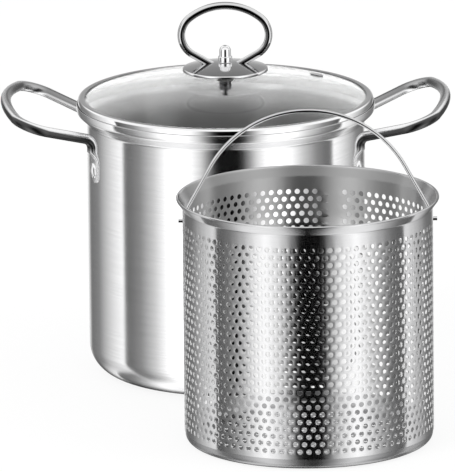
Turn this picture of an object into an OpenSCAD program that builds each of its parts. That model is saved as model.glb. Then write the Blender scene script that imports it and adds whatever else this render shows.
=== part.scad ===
// Deep fryer pot: a tall drawn steel pot with wire handles and a domed glass lid,
// and the perforated frying basket that lowers into it, standing beside the pot.
// The pot stands on the floor at the origin, +Z up, with its handles along X.

/* [Pot] */
// Inner diameter of the pot
pot_inner_d = 220; // [190:1:260]
// Thickness of the pot's drawn sheet
pot_wall = 0.8; // [0.6:0.1:1.4]
// Height of the pot from the floor to its rim
pot_h = 219; // [180:1:280]
// Outer radius of the corner between the wall and the bottom
pot_corner_r = 24; // [10:1:35]
// How far the rim flares out beyond the wall
flare_out = 8.2; // [6:0.1:11]
// Radius of the two bends in the flare
flare_bend_r = 4; // [2:0.5:5]
// Slope of the flare, from the vertical
flare_slope = 47; // [40:1:60]
// Height of the upright collar above the flare
collar_h = 4; // [3:0.5:8]

/* [Side handles] */
// Diameter of the handle wire
handle_wire_d = 8.2; // [6:0.1:10]
// Distance between the two rivets of one handle, along Y
handle_spread = 85; // [70:1:100]
// How far the handle's outer bar stands beyond the wall
handle_reach = 64.5; // [50:0.5:80]
// Angle by which the handle's legs spread apart, from the pot's radius
handle_splay = 10; // [0:1:15]
// Upward tilt of the handle loop
handle_tilt = 19; // [10:1:25]
// Height of the outer bar of the handle above the pot's rim
handle_lift = 4; // [-10:1:8]
// Radius of the handle's outer corners
handle_corner_r = 18; // [14:1:26]
// Radius of the handle's outer bar, a shallow bow
handle_bow_r = 180; // [120:5:300]
// Radius of the bend where the handle wire turns down the wall
handle_root_r = 9; // [7:0.5:12]
// Width of the flattened wire end
pad_w = 14; // [12:0.5:18]
// Thickness of the flattened wire end
pad_t = 3; // [2:0.1:4]
// Length of the flattened wire end below the rivet's centre
pad_tail = 10; // [9:0.5:16]
// Width of metal that the flattened wire end leaves above the rivet's head
pad_margin = 1.5; // [1:0.1:4]
// Length over which the wire widens into its flattened end
pad_taper = 8; // [5:0.5:14]
// Drop from the pot's rim to the rivets
rivet_drop = 45; // [42:1:60]
// Diameter of the rivet shank
rivet_d = 5; // [4:0.1:6]
// Diameter of the rivet's outer head
rivet_head_d = 12.5; // [10:0.5:14]
// Height of the rivet's outer head
rivet_head_h = 3; // [2:0.1:4]

/* [Lid] */
// Height of the lid's steel band above the pot's rim
band_rise = 5; // [4:0.1:8]
// Width of the band's top flange over the glass
band_flange = 5.6; // [4:0.1:9]
// Thickness of the band's sheet
band_t = 0.5; // [0.4:0.1:0.8]
// How far the lid's skirt stands outside the pot's wall, in the flare
skirt_step = 2.8; // [1.2:0.1:3.2]
// Thickness of the lid's glass
glass_t = 4; // [3:0.5:4.5]
// Height of the glass dome above the band
glass_rise = 16; // [10:1:30]
// Distance of the steam vent from the lid's axis
vent_offset = 85; // [70:1:95]
// Direction of the steam vent, from +X
vent_angle = 30.5; // [0:1:360]
// Diameter of the steam vent's opening
vent_d = 3.2; // [2:0.1:4]
// Diameter of the vent eyelet's rolled flange
vent_flange_d = 11; // [9:0.5:14]

/* [Lid knob] */
// Radius of the domed plate under the knob loop
plate_r = 34; // [28:1:40]
// Rise of the domed plate
plate_rise = 4.5; // [3:0.5:8]
// Thickness of the domed plate
plate_t = 0.8; // [0.6:0.1:1.2]
// Height of the plate's turned-down edge
plate_hem = 1.8; // [1:0.1:4]
// Gap between the glass dome's top and the plate's edge
plate_gap = 5.8; // [4:0.1:12]
// Diameter of the spacer under the plate
spacer_d = 9.7; // [8:0.1:14]
// Diameter of the knob's wire
loop_wire_d = 6; // [4:0.1:8]
// Width of the loop between its wire centres
loop_w = 69.6; // [60:0.1:80]
// Height of the loop's wire centre above the plate
loop_h = 46; // [40:1:60]
// Radius of the loop's top bow
loop_top_r = 45; // [40:1:60]
// Distance between the loop's feet on the plate
foot_spread = 27; // [22:1:34]
// Slope of the loop's feet above the horizontal
foot_slope = 30; // [20:1:40]
// Diameter of the knob's screw
screw_d = 5; // [4:0.1:6]
// Diameter of the cap nut's flange
nut_flange_d = 12; // [10.5:0.1:13]
// Width of the cap nut across its round body
nut_d = 9.7; // [8:0.1:11]
// Height of the cap nut
nut_h = 14; // [11:0.5:18]
// Diameter of the washers and gaskets on the glass
gasket_d = 17; // [14:0.5:22]
// Thickness of each gasket
gasket_t = 1.2; // [0.8:0.1:2]
// Thickness of the washer under the glass
washer_t = 1; // [0.8:0.1:1.5]
// Diameter of the screw's head
screw_head_d = 10; // [8:0.5:12]
// Height of the screw's head
screw_head_h = 3; // [2.5:0.1:4]

/* [Basket] */
// Where the basket stands, along X
basket_x = 63; // [40:1:80]
// Gap along Y between the pot's wall and the basket's wall, where the basket stands
stand_gap = 9.8; // [6:0.1:40]
// Outer diameter of the basket wall
basket_d = 194.8; // [170:0.1:200]
// Thickness of the basket's sheet
basket_wall_t = 0.6; // [0.5:0.1:0.8]
// Height of the basket from the floor to its rim
basket_h = 195.5; // [160:0.5:205]
// How far the basket's rim flares out beyond its wall
rim_out = 7.2; // [5:0.1:8]
// Height of the basket's flared rim
rim_h = 8.6; // [8:0.1:12]
// Radius of the curled edge of the rim
curl_r = 1.1; // [1:0.1:1.6]
// Radius of the corner of the basket's bottom
base_corner_r = 6; // [3:0.5:8]
// Height of the bottom pan's upstand inside the wall
base_lap_h = 11.5; // [11:0.1:12]
// Height of the wall's lower edge above the floor
wall_foot = 8.5; // [8:0.5:10]

/* [Drain holes] */
// Diameter of the drain holes
hole_d = 5; // [3:0.5:6]
// Spacing of the drain holes round the wall
hole_pitch = 17; // [15:0.5:40]
// Depth of the first row of holes below the rim
first_row = 21; // [18:0.5:30]
// Height of the lowest row of holes above the floor
last_row = 14.6; // [12:0.1:30]
// Width of the blank strip at the wall's seam
seam_w = 23; // [10:1:60]
// Direction of the seam, from +X
seam_angle = 78; // [60:1:120]
// Spacing of the drain holes in the bottom
base_hole_pitch = 14; // [10:0.5:30]

/* [Bail] */
// Diameter of the bail wire
bail_wire_d = 3; // [2.5:0.1:4]
// Depth of the bail's pivots below the rim
pivot_drop = 20; // [17:0.5:24]
// Height of the bail's top above its pivots
bail_h = 87; // [75:1:92]
// Lean of the bail's legs, from the vertical
bail_lean = 29; // [20:1:35]
// Radius of the bend where the leg starts to lean
knee_r = 7; // [6:1:20]
// Height of the upright part of each leg above the pivot bend
bail_foot = 5; // [3:0.5:8]
// How far the bail's ends stand out of the wall
bail_nub = 3.2; // [2:0.1:5]

/* [Clearances] */
// Gap between parts that are pressed or clamped together
seat_gap = 0.05; // [0.02:0.01:0.1]
// Gap round rivets and screws in their holes
fastener_gap = 0.1; // [0.05:0.01:0.2]
// Gap round the bail wire in its pivot holes
pivot_gap = 0.05; // [0.02:0.01:0.08]
// Gap between the bail's legs and the basket wall
bail_side_gap = 1.6; // [1.2:0.1:3]
// Gap between the lid's band and the pot's collar
lid_gap = 0.3; // [0.2:0.1:0.5]
// Gap between the glass's edge and the band round it
glass_gap = 1.2; // [0.5:0.1:2]

/* [Hidden] */
$fn = 96;
eps = 0.02;
overlap = 1;
wire_sides = 14;

// Pot: the outer surfaces of wall and lip, and the heights of the flare's bends
pot_r = pot_inner_d / 2 + pot_wall;
lip_r = pot_r + flare_out;
flare_len = (flare_out - 2 * flare_bend_r * (1 - cos(flare_slope))) / sin(flare_slope);
flare_top = pot_h - collar_h;
flare_foot = flare_top - 2 * flare_bend_r * sin(flare_slope) - flare_len * cos(flare_slope);

// Side handles: the wire stands on the wall at its rivets, and its loop lies in a tilted plane
rivet_angle = asin(handle_spread / 2 / pot_r);
wire_r = handle_wire_d / 2;
pad_back = pot_r + seat_gap;
root_x = pad_back + wire_r;
bar_x = pot_r + handle_reach;
tilt_z = pot_h + handle_lift - bar_x * tan(handle_tilt);
root_top = tilt_z + root_x * cos(rivet_angle) * tan(handle_tilt);
rivet_z = pot_h - rivet_drop;
pad_flat = rivet_head_d / 2 + pad_margin;
pad_top = rivet_z + pad_flat + pad_taper;

// In the tilted plane of the handle: u runs outward from the pot's axis, v along Y.
// Each corner's arc touches the leg's line and the bow from inside
leg_angle = atan(tan(rivet_angle) * cos(handle_tilt)) + handle_splay;
leg_way = [cos(leg_angle), sin(leg_angle)];
leg_side = [sin(leg_angle), -cos(leg_angle)];
root_uv = [root_x * cos(rivet_angle) / cos(handle_tilt), root_x * sin(rivet_angle)];
bow_uv = [bar_x / cos(handle_tilt) - handle_bow_r, 0];
from_bow = root_uv + handle_corner_r * leg_side - bow_uv;
along = from_bow * leg_way;
leg_len = sqrt(pow(along, 2) - from_bow * from_bow + pow(handle_bow_r - handle_corner_r, 2)) - along;
corner_uv = from_bow + leg_len * leg_way;
bow_angle = atan2(corner_uv.y, corner_uv.x);
corner_turn = 90 + leg_angle - bow_angle;

// In space: the wire turns from the wall's vertical into the leg
leg_heading = atan2(sin(leg_angle), cos(leg_angle) * cos(handle_tilt));
root_bend = 90 - asin(cos(leg_angle) * sin(handle_tilt));
root_tangent = handle_root_r * tan(root_bend / 2);
inward = [sin(leg_angle) * cos(handle_tilt), -cos(leg_angle), sin(leg_angle) * sin(handle_tilt)];
across = [-sin(leg_heading), cos(leg_heading), 0];
below = [cos(root_bend) * cos(leg_heading), cos(root_bend) * sin(leg_heading), -sin(root_bend)];
turn_side = atan2(inward * across, inward * below);
handle_runs = [
  [root_top - root_tangent - pad_top, handle_root_r, root_bend, 0],
  [leg_len - root_tangent, handle_corner_r, corner_turn, turn_side],
  [0, handle_bow_r, 2 * bow_angle, turn_side],
  [0, handle_corner_r, corner_turn, turn_side],
  [leg_len - root_tangent, handle_root_r, root_bend, 0],
  [root_top - root_tangent - pad_top, 0, 0, 0]
];

// Lid: the band is closed round the glass, and its skirt stands on the flare
skirt_r = pot_r + skirt_step;
band_r = lip_r - pot_wall - lid_gap;
band_top = pot_h + band_rise;
flange_r = band_r - band_flange;
skirt_foot = flare_top - flare_bend_r * sin(flare_slope)
  - (lip_r - flare_bend_r * (1 - cos(flare_slope)) - skirt_r) / tan(flare_slope)
  + pot_wall / sin(flare_slope) + seat_gap / sin(flare_slope);
glass_r = band_r - band_t - glass_gap;
glass_sphere = (pow(flange_r, 2) + pow(glass_rise, 2)) / (2 * glass_rise);
glass_top = band_top - band_t - seat_gap + glass_rise;
glass_edge = under_dome(glass_top, glass_sphere, glass_t, glass_r);
band_floor = glass_edge - lid_gap - band_t;
screw_hole = screw_d + 3;
vent_tilt = asin(vent_offset / glass_sphere);
vent_shank_d = vent_d + 2.4;

// Knob stack on the lid's axis, from the glass upward and from the glass downward
plate_sphere = (pow(plate_r, 2) + pow(plate_rise, 2)) / (2 * plate_rise);
plate_edge = glass_top + plate_gap + plate_hem;
plate_top = plate_edge + plate_rise;
upper_gasket_z = glass_top + seat_gap;
spacer_z = upper_gasket_z + gasket_t + seat_gap;
spacer_top = under_dome(plate_top, plate_sphere, plate_t, spacer_d / 2) - seat_gap;
lower_gasket_z = under_dome(glass_top, glass_sphere, glass_t, gasket_d / 2) - seat_gap - gasket_t;
washer_z = lower_gasket_z - seat_gap - washer_t;
screw_top = plate_top + nut_h * 0.55;
nut_z = plate_top + seat_gap;

// Knob loop: side radius from the loop's width, height, top bow and foot slope
half_w = loop_w / 2;
foot_x = foot_spread / 2;
foot_z = plate_top - plate_sphere + sqrt(pow(plate_sphere, 2) - pow(foot_x, 2));
loop_top = loop_h + plate_top - foot_z;
slope_k = cos(foot_slope) - (1 - sin(foot_slope)) * tan(foot_slope);
slope_a = (half_w - foot_x) * tan(foot_slope) - loop_top + loop_top_r;
side_b = 2 * (loop_top_r - half_w + slope_a * slope_k);
side_c = pow(half_w, 2) + pow(slope_a, 2) - pow(loop_top_r, 2);
side_r = (-side_b + sqrt(pow(side_b, 2) - 4 * pow(slope_k, 2) * side_c)) / (2 * pow(slope_k, 2));
wide_z = (half_w - foot_x) * tan(foot_slope) + slope_k * side_r;
top_angle = atan2(half_w - side_r, wide_z - loop_top + loop_top_r);
foot_run = (half_w - side_r + side_r * sin(foot_slope) - foot_x) / cos(foot_slope);
foot_sink = loop_wire_d;
loop_runs = [
  [foot_run + foot_sink, side_r, 180 - foot_slope - top_angle, 0],
  [0, loop_top_r, 2 * top_angle, 0],
  [0, side_r, 180 - foot_slope - top_angle, 0],
  [foot_run + foot_sink, 0, 0, 0]
];

// Basket: its place, its wall, and the pattern of its drain holes
basket_r = basket_d / 2;
basket_y = -(pot_r + stand_gap + basket_r);
basket_inner_r = basket_r - basket_wall_t;
pivot_z = basket_h - pivot_drop;
base_r = basket_inner_r - seat_gap;
hole_columns = round(2 * PI * basket_r / hole_pitch);
column_step = 360 / hole_columns;
row_step = hole_pitch * sin(60);
hole_rows = floor((basket_h - first_row - last_row) / row_step) + 1;
row_fit = (basket_h - first_row - last_row) / (hole_rows - 1);
seam_half = asin(seam_w / 2 / basket_r);
pivot_hole_d = bail_wire_d + 2 * pivot_gap;
pivot_clear = (pivot_hole_d + hole_d) / 2 + 1.5;

// Bail: the top bow's radius from the legs' lean, the pivots' span and the height
bail_r = bail_wire_d / 2;
leg_x = basket_inner_r - bail_r - bail_side_gap;
foot_bend_r = basket_inner_r - leg_x;
bow_x = leg_x - knee_r * (1 - cos(bail_lean));
bow_z = bail_h - foot_bend_r - bail_foot - knee_r * sin(bail_lean);
bow_r = (bow_x * cos(bail_lean) - bow_z * sin(bail_lean)) / (1 - sin(bail_lean));
bail_leg = (bow_x - bow_r * cos(bail_lean)) / sin(bail_lean);
pin_len = basket_wall_t + bail_nub;
pin_overlap = bail_wire_d / 15;
bail_runs = [
  [pin_len, foot_bend_r, 90, 0],
  [bail_foot, knee_r, bail_lean, 180],
  [bail_leg, bow_r, 180 - 2 * bail_lean, 180],
  [bail_leg, knee_r, bail_lean, 180],
  [bail_foot, foot_bend_r, 90, 0],
  [pin_len, 0, 0, 0]
];

// Height of a dome's inner face at a distance from its axis
function under_dome(top, sphere_r, thickness, r) =
  top - sphere_r + sqrt(pow(sphere_r - thickness, 2) - pow(r, 2));

// Moves of a frame that travels along its own Z axis
function slide(d) = [[1, 0, 0, 0], [0, 1, 0, 0], [0, 0, 1, d], [0, 0, 0, 1]];
function roll(a) = [[cos(a), -sin(a), 0, 0], [sin(a), cos(a), 0, 0], [0, 0, 1, 0], [0, 0, 0, 1]];
function bend(r, a) = [
  [cos(a), 0, sin(a), r * (1 - cos(a))],
  [0, 1, 0, 0],
  [-sin(a), 0, cos(a), r * sin(a)],
  [0, 0, 0, 1]
];
// Steps in a bend, about one for every 9 degrees
function bend_steps(a) = max(2, ceil(a / 9));
// Frames along a bent wire. Each run is [straight length, bend radius, bend angle, side of the bend]
function wire_frames(start, runs, i = 0) = i == len(runs) ? [] :
  let (
    run = runs[i],
    bent_from = start * slide(run[0]),
    n = bend_steps(run[2]),
    bent = [for (k = [1 : run[2] > 0 ? n : 0])
      bent_from * roll(run[3]) * bend(run[1], run[2] * k / n) * roll(-run[3])],
    straight = run[0] > 0 ? [bent_from] : [],
    next = run[2] > 0 ? bent[n - 1] : bent_from
  )
  concat(straight, bent, wire_frames(next, runs, i + 1));

// A round wire swept along its frames
module wire(radius, start, runs, sides = wire_sides) {
  frames = concat([start], wire_frames(start, runs));
  rings = len(frames);
  points = [for (f = frames, j = [0 : sides - 1])
    let (p = f * [radius * cos(360 * j / sides), radius * sin(360 * j / sides), 0, 1])
    [p[0], p[1], p[2]]];
  side_faces = [for (i = [0 : rings - 2], j = [0 : sides - 1], half = [0, 1])
    let (a = i * sides + j, b = i * sides + (j + 1) % sides)
    half == 0 ? [a, a + sides, b] : [b, a + sides, b + sides]];
  first_cap = [for (j = [0 : sides - 1]) j];
  last_cap = [for (j = [sides - 1 : -1 : 0]) (rings - 1) * sides + j];
  polyhedron(points = points, faces = concat([first_cap], side_faces, [last_cap]), convexity = 6);
}

// Points of an arc in the turning section
function arc(x, z, r, from, to, n = 8) =
  [for (k = [0 : n]) let (a = from + (to - from) * k / n) [x + r * cos(a), z + r * sin(a)]];

// A turned shell between two concentric spheres, its top at the origin
module dome(sphere_r, thickness, from_r, to_r) {
  rotate_extrude()
    intersection() {
      translate([0, -sphere_r]) difference() {
        circle(sphere_r, $fn = 360);
        circle(sphere_r - thickness, $fn = 360);
      }
      translate([from_r, -sphere_r]) square([to_r - from_r, sphere_r + 1]);
    }
}

module ring(outer_r, inner_r, height) {
  difference() {
    cylinder(r = outer_r, h = height);
    translate([0, 0, -1]) cylinder(r = inner_r, h = height + 2);
  }
}

// Section of the pot's wall and lip, from the corner up: outer face, then inner face
module wall_section() {
  low_x = pot_r + flare_bend_r;
  high_x = lip_r - flare_bend_r;
  outer = concat(
    [[pot_r, pot_corner_r]],
    arc(low_x, flare_foot, flare_bend_r, 180, 180 - flare_slope),
    arc(high_x, flare_top, flare_bend_r, -flare_slope, 0),
    arc(lip_r - pot_wall / 2, pot_h - pot_wall / 2, pot_wall / 2, 0, 180, 6)
  );
  inner = concat(
    arc(high_x, flare_top, flare_bend_r - pot_wall, 0, -flare_slope),
    arc(low_x, flare_foot, flare_bend_r + pot_wall, 180 - flare_slope, 180),
    [[pot_r - pot_wall, pot_corner_r]]
  );
  polygon(concat(outer, inner));
}

module pot_body() {
  color([0.78, 0.78, 0.79]) difference() {
    rotate_extrude() {
      square([pot_r - pot_corner_r, pot_wall]);
      translate([pot_r - pot_corner_r, pot_corner_r]) intersection() {
        difference() {
          circle(pot_corner_r);
          circle(pot_corner_r - pot_wall);
        }
        translate([0, -pot_corner_r]) square(pot_corner_r);
      }
      wall_section();
    }
    for (side = [0, 1], end = [-1, 1])
      rotate([0, 0, side * 180 + end * rivet_angle]) translate([pot_r - 3, 0, rivet_z])
        rotate([0, 90, 0]) cylinder(d = rivet_d + 2 * fastener_gap, h = 6);
  }
}

// One flattened end of a side handle, with its rivet hole
module handle_pad() {
  difference() {
    union() {
      translate([pad_back, 0, rivet_z]) rotate([0, 90, 0]) linear_extrude(pad_t) {
        translate([-pad_flat, -pad_w / 2]) square([pad_flat + pad_tail - pad_w / 2, pad_w]);
        translate([pad_tail - pad_w / 2, 0]) circle(d = pad_w);
      }
      hull() {
        translate([root_x, 0, pad_top]) cylinder(r = wire_r * cos(180 / wire_sides) - eps, h = overlap);
        translate([pad_back + eps, eps - pad_w / 2, rivet_z + pad_flat - overlap / 2])
          cube([pad_t - 2 * eps, pad_w - 2 * eps, overlap]);
      }
    }
    translate([pad_back - 1, 0, rivet_z]) rotate([0, 90, 0])
      cylinder(d = rivet_d + 2 * fastener_gap, h = pad_t + 2);
  }
}

module side_handle() {
  start = [
    [cos(leg_heading), -sin(leg_heading), 0, root_x * cos(rivet_angle)],
    [sin(leg_heading), cos(leg_heading), 0, root_x * sin(rivet_angle)],
    [0, 0, 1, pad_top],
    [0, 0, 0, 1]
  ];
  color([0.85, 0.85, 0.86]) {
    wire(wire_r, start, handle_runs);
    for (end = [-1, 1]) rotate([0, 0, end * rivet_angle]) handle_pad();
  }
}

module right_handle() { side_handle(); }
module left_handle() { mirror([1, 0, 0]) side_handle(); }

// A rivet through the flattened wire end and the wall, at an angle round the pot
module rivet(angle) {
  head_z = pad_back + pad_t + seat_gap;
  tail_h = 1.4;
  tail_r = rivet_d * 0.95;
  tail_z = sqrt(pow(pot_inner_d / 2, 2) - pow(tail_r, 2)) - seat_gap;
  dome_r = (pow(rivet_head_d / 2, 2) + pow(rivet_head_h, 2)) / (2 * rivet_head_h);
  color([0.8, 0.8, 0.82]) rotate([0, 0, angle]) translate([0, 0, rivet_z]) rotate([0, 90, 0]) {
    translate([0, 0, tail_z - tail_h / 2]) cylinder(d = rivet_d, h = head_z - tail_z + tail_h);
    translate([0, 0, tail_z - tail_h]) cylinder(r = tail_r, h = tail_h);
    translate([0, 0, head_z + rivet_head_h - dome_r]) intersection() {
      sphere(dome_r);
      translate([0, 0, dome_r - rivet_head_h]) cylinder(r = dome_r, h = rivet_head_h + 1);
    }
  }
}

module rivet_right_front() { rivet(-rivet_angle); }
module rivet_right_back() { rivet(rivet_angle); }
module rivet_left_front() { rivet(180 + rivet_angle); }
module rivet_left_back() { rivet(180 - rivet_angle); }

// Places a thing upright on the glass dome at the steam vent
module at_vent() {
  rotate([0, 0, vent_angle]) translate([0, 0, glass_top - glass_sphere])
    rotate([0, vent_tilt, 0]) translate([0, 0, glass_sphere]) children();
}

module lid_glass() {
  color([0.75, 0.85, 0.85, 0.4]) difference() {
    translate([0, 0, glass_top]) dome(glass_sphere, glass_t, screw_hole / 2, glass_r);
    at_vent() translate([0, 0, -glass_t - 2])
      cylinder(d = vent_shank_d + 2 * fastener_gap, h = glass_t + 4);
  }
}

module lid_band() {
  shoulder = 2.5;
  heel = 1;
  outer = concat(
    arc(band_r - shoulder, band_top - shoulder, shoulder, 90, 0, 6),
    arc(band_r - heel, band_floor + heel, heel, 0, -90, 4)
  );
  inner = concat(
    arc(band_r - heel, band_floor + heel, heel - band_t, -90, 0, 4),
    arc(band_r - shoulder, band_top - shoulder, shoulder - band_t, 0, 90, 6)
  );
  color([0.82, 0.82, 0.83]) rotate_extrude() polygon(concat(
    [[flange_r, band_top]], outer,
    [[skirt_r, band_floor], [skirt_r, skirt_foot], [skirt_r - band_t, skirt_foot],
     [skirt_r - band_t, band_floor + band_t]],
    inner,
    [[flange_r, band_top - band_t]]
  ));
}

module vent_eyelet() {
  flange_t = 0.6;
  low = -glass_t - 2 * seat_gap - flange_t;
  color([0.8, 0.8, 0.82]) at_vent() difference() {
    union() {
      translate([0, 0, low]) cylinder(d = vent_shank_d, h = seat_gap + flange_t - low);
      translate([0, 0, seat_gap]) cylinder(d = vent_flange_d, h = flange_t);
      translate([0, 0, low]) cylinder(d = vent_flange_d - 2, h = flange_t);
    }
    translate([0, 0, -glass_t - 5]) cylinder(d = vent_d, h = glass_t + 10);
  }
}

module knob_screw() {
  head_z = washer_z - seat_gap - screw_head_h;
  slot = [screw_head_d + 2, 1.2, 1.2];
  color([0.7, 0.7, 0.72]) difference() {
    union() {
      translate([0, 0, head_z]) cylinder(d = screw_head_d, h = screw_head_h);
      translate([0, 0, head_z + screw_head_h / 2])
        cylinder(d = screw_d, h = screw_top - head_z - screw_head_h / 2);
    }
    translate([-slot.x / 2, -slot.y / 2, head_z - slot.z / 2]) cube(slot);
  }
}

module lower_washer() {
  color([0.75, 0.75, 0.77]) translate([0, 0, washer_z])
    ring(gasket_d / 2 - 1, screw_d / 2 + fastener_gap, washer_t);
}

module lower_gasket() {
  color([0.15, 0.15, 0.15]) translate([0, 0, lower_gasket_z])
    ring(gasket_d / 2, screw_d / 2 + fastener_gap, gasket_t);
}

module upper_gasket() {
  color([0.15, 0.15, 0.15]) translate([0, 0, upper_gasket_z])
    ring(gasket_d / 2 - 2, screw_d / 2 + fastener_gap, gasket_t);
}

module knob_spacer() {
  color([0.8, 0.8, 0.82]) translate([0, 0, spacer_z])
    ring(spacer_d / 2, screw_d / 2 + fastener_gap, spacer_top - spacer_z);
}

module knob_plate() {
  color([0.85, 0.85, 0.86]) {
    translate([0, 0, plate_top]) dome(plate_sphere, plate_t, screw_d / 2 + fastener_gap, plate_r);
    translate([0, 0, plate_edge - plate_hem]) ring(plate_r, plate_r - plate_t, plate_hem + eps);
  }
}

module knob_loop() {
  start = [
    [sin(foot_slope), 0, -cos(foot_slope), -foot_x + foot_sink * cos(foot_slope)],
    [0, 1, 0, 0],
    [cos(foot_slope), 0, sin(foot_slope), foot_z - foot_sink * sin(foot_slope)],
    [0, 0, 0, 1]
  ];
  color([0.85, 0.85, 0.86]) difference() {
    wire(loop_wire_d / 2, start, loop_runs);
    translate([0, 0, plate_top - plate_sphere]) sphere(plate_sphere + seat_gap, $fn = 360);
  }
}

module cap_nut() {
  flange_h = 1.2;
  crown_r = nut_d / 2;
  color([0.8, 0.8, 0.82]) translate([0, 0, nut_z]) difference() {
    union() {
      cylinder(d = nut_flange_d, h = flange_h);
      cylinder(r = crown_r, h = nut_h - crown_r);
      translate([0, 0, nut_h - crown_r]) sphere(crown_r);
    }
    translate([0, 0, -1]) cylinder(r = screw_d / 2 + seat_gap, h = screw_top - nut_z + 1.5);
  }
}

// Rim, wall and curled edge of the basket, one sheet
module basket_section() {
  rim_foot = basket_h - rim_h;
  curl_x = basket_r + rim_out - curl_r;
  curl_z = basket_h - curl_r;
  reach = norm([curl_x - basket_r, curl_z - rim_foot]);
  slope = atan2(curl_x - basket_r, curl_z - rim_foot) - asin((curl_r - basket_wall_t) / reach);
  polygon(concat(
    [[basket_r, wall_foot], [basket_r, rim_foot]],
    arc(curl_x, curl_z, curl_r - basket_wall_t, 180 - slope, -100, 10),
    arc(curl_x, curl_z, curl_r, -100, 180 - slope, 12),
    [[basket_inner_r, rim_foot + basket_wall_t * tan(slope / 2)], [basket_inner_r, wall_foot]]
  ));
}

// Distance on the wall from a point to the nearer pivot hole
function pivot_distance(angle, z) = norm([sin(angle) * basket_r, z - pivot_z]);

module basket_wall() {
  color([0.78, 0.78, 0.79]) translate([basket_x, basket_y, 0]) difference() {
    rotate_extrude() basket_section();
    for (row = [0 : hole_rows - 1], column = [0 : hole_columns - 1]) {
      angle = seam_angle + (column + (row % 2) / 2) * column_step;
      z = last_row + row * row_fit;
      off_seam = abs((angle - seam_angle + 180) % 360 - 180);
      if (off_seam > seam_half && pivot_distance(angle, z) > pivot_clear)
        rotate([0, 0, angle]) translate([basket_r - 4, 0, z]) rotate([0, 90, 0])
          cylinder(d = hole_d, h = 6, $fn = 24);
    }
    for (side = [0, 180]) rotate([0, 0, side]) translate([basket_r - 4, 0, pivot_z])
      rotate([0, 90, 0]) cylinder(d = pivot_hole_d, h = 6);
  }
}

module basket_base() {
  corner_x = base_r - base_corner_r;
  hole_field = corner_x - hole_d / 2 - 2;
  field_steps = floor(hole_field / base_hole_pitch) + 1;
  color([0.78, 0.78, 0.79]) translate([basket_x, basket_y, 0]) difference() {
    rotate_extrude() {
      square([corner_x, basket_wall_t]);
      translate([corner_x, base_corner_r]) intersection() {
        difference() {
          circle(base_corner_r);
          circle(base_corner_r - basket_wall_t);
        }
        translate([0, -base_corner_r]) square(base_corner_r);
      }
      translate([base_r - basket_wall_t, base_corner_r])
        square([basket_wall_t, base_lap_h - base_corner_r]);
    }
    for (i = [-field_steps : field_steps], j = [-field_steps - 1 : field_steps + 1]) {
      x = (i + abs(j % 2) / 2) * base_hole_pitch;
      y = j * base_hole_pitch * sin(60);
      if (norm([x, y]) < hole_field)
        translate([x, y, -1]) cylinder(d = hole_d, h = 3, $fn = 24);
    }
  }
}

module basket_bail() {
  pin_end = basket_r + bail_nub;
  start = [[0, 0, 1, -pin_end], [0, -1, 0, 0], [1, 0, 0, 0], [0, 0, 0, 1]];
  color([0.8, 0.8, 0.82]) translate([basket_x, basket_y, pivot_z]) {
    wire(bail_r - eps, start, bail_runs, 12);
    for (side = [-1, 1]) translate([side * (basket_inner_r - pin_overlap), 0, 0]) rotate([0, side * 90, 0])
      cylinder(r = bail_r, h = pin_len + 2 * pin_overlap);
  }
}

pot_body();
left_handle();
right_handle();
rivet_left_front();
rivet_left_back();
rivet_right_front();
rivet_right_back();
lid_glass();
lid_band();
vent_eyelet();
knob_screw();
lower_washer();
lower_gasket();
upper_gasket();
knob_spacer();
knob_plate();
knob_loop();
cap_nut();
basket_wall();
basket_base();
basket_bail();
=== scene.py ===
# %% [markdown]
# # A deep fryer pot and its frying basket
# A tall drawn steel pot with bent wire handles, a domed glass lid with a wire loop knob,
# and the perforated basket that goes into it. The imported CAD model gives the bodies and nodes,
# and the cells below build the shiny surfaces that a camera sees, in its places and sizes.

import math

import bmesh
import bpy
from mathutils import Matrix, Vector


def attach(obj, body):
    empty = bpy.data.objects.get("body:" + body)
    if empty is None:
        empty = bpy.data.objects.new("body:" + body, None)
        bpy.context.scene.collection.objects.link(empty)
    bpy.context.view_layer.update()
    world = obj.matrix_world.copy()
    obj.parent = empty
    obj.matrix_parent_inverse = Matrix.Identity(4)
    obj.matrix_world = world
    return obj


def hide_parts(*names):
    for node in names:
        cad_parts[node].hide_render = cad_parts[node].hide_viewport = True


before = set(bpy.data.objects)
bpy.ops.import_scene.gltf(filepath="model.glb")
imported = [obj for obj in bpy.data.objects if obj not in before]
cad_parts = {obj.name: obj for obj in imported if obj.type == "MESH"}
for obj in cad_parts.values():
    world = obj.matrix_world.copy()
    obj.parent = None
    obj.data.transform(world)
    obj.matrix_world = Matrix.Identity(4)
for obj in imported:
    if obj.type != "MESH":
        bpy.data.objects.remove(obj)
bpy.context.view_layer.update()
print("nodes in the frame:", len(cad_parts))

# %% [markdown]
# Shapes are drawn in millimetres and made metres when they are finished. The pot stands in the
# middle of the scene, and the basket has its own place beside it, kept in metres for the materials.

# %% Units and places
MM = 0.001
basket_place = Vector((63, -218, 0)) * MM


def new_object(name, data):
    """A new object that is linked to the scene."""
    made = bpy.data.objects.new(name, data)
    bpy.context.scene.collection.objects.link(made)
    return made


print("basket stands at", basket_place[:])

# %% [markdown]
# The photograph was taken with a long lens from a little above. A distance of 8 metres keeps the
# verticals almost parallel, and the small roll levels the picture as the photographer held it.

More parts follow.
